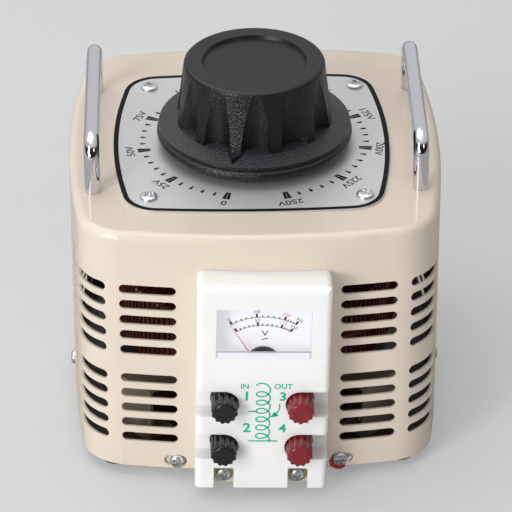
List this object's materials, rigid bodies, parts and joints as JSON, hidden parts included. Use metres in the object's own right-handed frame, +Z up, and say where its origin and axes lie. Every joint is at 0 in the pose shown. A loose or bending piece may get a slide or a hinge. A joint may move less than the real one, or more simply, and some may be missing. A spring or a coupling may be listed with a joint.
{
  "type": "variable autotransformer",
  "caption": "Bench variable autotransformer: a slotted steel case with carrying handles, a fluted knob over a volt dial, and a front panel with a needle meter and screw terminals.",
  "frame": {"origin": "on the surface that the feet stand on, under the middle of the case's plan", "axes": "+Z up, -Y out of the front with the terminal panel, +X to the right of a viewer in front"},
  "size_m": [0.188, 0.2143, 0.185],
  "materials": {
    "case_paint": "glossy beige enamel",
    "foot_rubber": "matt",
    "zinc_steel": "zinc plated",
    "handle_chrome": "polished chrome plate",
    "dial_metal": "brushed, printed black",
    "panel_plastic": "moulded white",
    "meter_plastic": "moulded white",
    "meter_print": "white, printed black",
    "clear_plastic": "clear",
    "dark_plastic": "moulded black",
    "needle_paint": "red",
    "terminal_brass": "turned",
    "black_cap_plastic": "moulded black",
    "red_cap_plastic": "moulded dark red",
    "insulating_board": "pressed board",
    "core_steel": "wound strip",
    "enamelled_wire": "dark red enamel",
    "lead_covering": "red covering",
    "knob_plastic": "moulded black",
    "arm_metal": "cast",
    "brush_carbon": "pressed carbon"
  },
  "bodies": {
    "housing": {"base_plate": "case_paint", "housing_cover": "case_paint", "core_stand": "case_paint", "rubber_feet": "foot_rubber", "foot_screws": "zinc_steel", "housing_screws": "zinc_steel", "handle_nuts": "zinc_steel", "dial_plate_screws": "zinc_steel", "panel_screws": "zinc_steel", "stand_screws": "zinc_steel", "bearing_hub": "zinc_steel", "hub_nut": "zinc_steel", "stop_pin": "zinc_steel", "handle_left": "handle_chrome", "handle_right": "handle_chrome", "dial_plate": "dial_metal", "terminal_panel": "panel_plastic", "meter_case": "meter_plastic", "meter_face": "meter_print", "meter_window": "clear_plastic", "meter_movement": "dark_plastic", "terminal_studs": "terminal_brass", "stud_nuts": "terminal_brass", "shaft_bushes": "terminal_brass", "collector_ring": "terminal_brass", "lower_disc": "insulating_board", "upper_disc": "insulating_board", "core_wrap": "insulating_board", "toroid_core": "core_steel", "winding": "enamelled_wire", "lead_wires": "lead_covering"},
    "rotor": {"control_shaft": "zinc_steel", "control_knob": "knob_plastic", "knob_set_screw": "zinc_steel", "brush_arm": "arm_metal", "brush_holder": "terminal_brass", "carbon_brush": "brush_carbon", "brush_spring": "zinc_steel", "collector_contact": "terminal_brass", "shaft_collar": "zinc_steel"},
    "needle": {"meter_needle": "needle_paint"},
    "clamp_1": {"clamp_washer_1": "terminal_brass"},
    "cap_1": {"terminal_cap_1": "black_cap_plastic"},
    "clamp_2": {"clamp_washer_2": "terminal_brass"},
    "cap_2": {"terminal_cap_2": "black_cap_plastic"},
    "clamp_3": {"clamp_washer_3": "terminal_brass"},
    "cap_3": {"terminal_cap_3": "red_cap_plastic"},
    "clamp_4": {"clamp_washer_4": "terminal_brass"},
    "cap_4": {"terminal_cap_4": "red_cap_plastic"}
  },
  "joints": [
    {"name": "knob_turn", "type": "hinge", "parent": "housing", "child": "rotor", "pos_m": [0, -0.004, 0.1], "axis": [0, 0, -1], "range_deg": [0, 330]},
    {"name": "needle_swing", "type": "hinge", "parent": "housing", "child": "needle", "pos_m": [0.00174, -0.1049, 0.06999], "axis": [0, 1, 0], "range_deg": [0, 62]},
    {"name": "clamp_1_slide", "type": "slide", "parent": "housing", "child": "clamp_1", "axis": [0, -1, 0], "range_m": [0, 0.0024]},
    {"name": "cap_1_turn", "type": "hinge", "parent": "clamp_1", "child": "cap_1", "pos_m": [-0.01687, -0.1034, 0.05537], "axis": [0, -1, 0], "range_deg": [0, 1100]},
    {"name": "clamp_2_slide", "type": "slide", "parent": "housing", "child": "clamp_2", "axis": [0, -1, 0], "range_m": [0, 0.0024]},
    {"name": "cap_2_turn", "type": "hinge", "parent": "clamp_2", "child": "cap_2", "pos_m": [-0.01739, -0.1034, 0.03058], "axis": [0, -1, 0], "range_deg": [0, 1100]},
    {"name": "clamp_3_slide", "type": "slide", "parent": "housing", "child": "clamp_3", "axis": [0, -1, 0], "range_m": [0, 0.0024]},
    {"name": "cap_3_turn", "type": "hinge", "parent": "clamp_3", "child": "cap_3", "pos_m": [0.01972, -0.1034, 0.05461], "axis": [0, -1, 0], "range_deg": [0, 1100]},
    {"name": "clamp_4_slide", "type": "slide", "parent": "housing", "child": "clamp_4", "axis": [0, -1, 0], "range_m": [0, 0.0024]},
    {"name": "cap_4_turn", "type": "hinge", "parent": "clamp_4", "child": "cap_4", "pos_m": [0.0192, -0.1034, 0.02981], "axis": [0, -1, 0], "range_deg": [0, 1100]}
  ],
  "couplings": [
    {"joint": "needle_swing", "follows": "knob_turn", "ratio": 0.15657},
    {"joint": "cap_1_turn", "follows": "clamp_1_slide", "rad_per_m": 7854},
    {"joint": "cap_2_turn", "follows": "clamp_2_slide", "rad_per_m": 7854},
    {"joint": "cap_3_turn", "follows": "clamp_3_slide", "rad_per_m": 7854},
    {"joint": "cap_4_turn", "follows": "clamp_4_slide", "rad_per_m": 7854}
  ]
}
